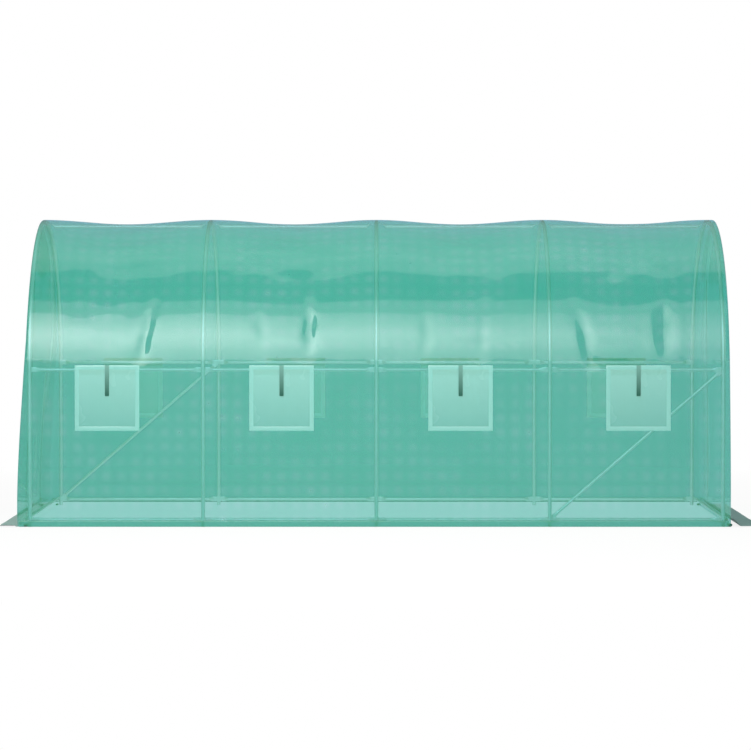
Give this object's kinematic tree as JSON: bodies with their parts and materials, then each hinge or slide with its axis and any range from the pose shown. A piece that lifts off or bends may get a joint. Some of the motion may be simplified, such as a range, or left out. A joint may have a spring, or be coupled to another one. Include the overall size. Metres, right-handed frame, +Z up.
{
  "type": "walk-in polytunnel greenhouse",
  "caption": "Walk-in polytunnel greenhouse: galvanised tube hoops, ridge beam, rails and braces under a green translucent film cover with roll-up windows and zip doors at the ends.",
  "frame": {"origin": "on the ground, midway along and midway across the tunnel", "axes": "+X along the tunnel to the right in the picture, -Y is the front long wall, +Z up"},
  "size_m": [4.872, 2.0104, 2.0002],
  "materials": {
    "galvanised_steel": "zinc coated, satin",
    "cover_film": "translucent woven polyethylene, satin",
    "end_film": "translucent woven polyethylene, satin",
    "apron_film": "translucent woven polyethylene, satin",
    "flap_film": "translucent woven polyethylene, satin",
    "insect_mesh": "open weave",
    "strap_webbing": "woven tape",
    "zip_tape": "woven tape with coil teeth"
  },
  "bodies": {
    "root": {"front_base_rail": "galvanised_steel", "front_brace": "galvanised_steel", "front_leg_1": "galvanised_steel", "front_leg_2": "galvanised_steel", "front_leg_3": "galvanised_steel", "front_leg_4": "galvanised_steel", "front_leg_5": "galvanised_steel", "front_mid_rail": "galvanised_steel", "front_wall": "cover_film", "front_window_flaps": "flap_film", "front_window_mesh": "insect_mesh", "front_window_straps": "strap_webbing", "hoop_arch_1": "galvanised_steel", "hoop_arch_2": "galvanised_steel", "hoop_arch_3": "galvanised_steel", "hoop_arch_4": "galvanised_steel", "hoop_arch_5": "galvanised_steel", "left_apron": "apron_film", "left_base_rail": "galvanised_steel", "left_door": "end_film", "left_door_zips": "zip_tape", "left_end_wall": "end_film", "rear_base_rail": "galvanised_steel", "rear_brace": "galvanised_steel", "rear_leg_1": "galvanised_steel", "rear_leg_2": "galvanised_steel", "rear_leg_3": "galvanised_steel", "rear_leg_4": "galvanised_steel", "rear_leg_5": "galvanised_steel", "rear_mid_rail": "galvanised_steel", "rear_wall": "cover_film", "rear_window_flaps": "flap_film", "rear_window_mesh": "insect_mesh", "rear_window_straps": "strap_webbing", "ridge_beam": "galvanised_steel", "right_apron": "apron_film", "right_base_rail": "galvanised_steel", "right_door": "end_film", "right_door_zips": "zip_tape", "right_end_wall": "end_film", "roof_panel_1": "cover_film", "roof_panel_2": "cover_film", "roof_panel_3": "cover_film", "roof_panel_4": "cover_film"}
  },
  "joints": []
}
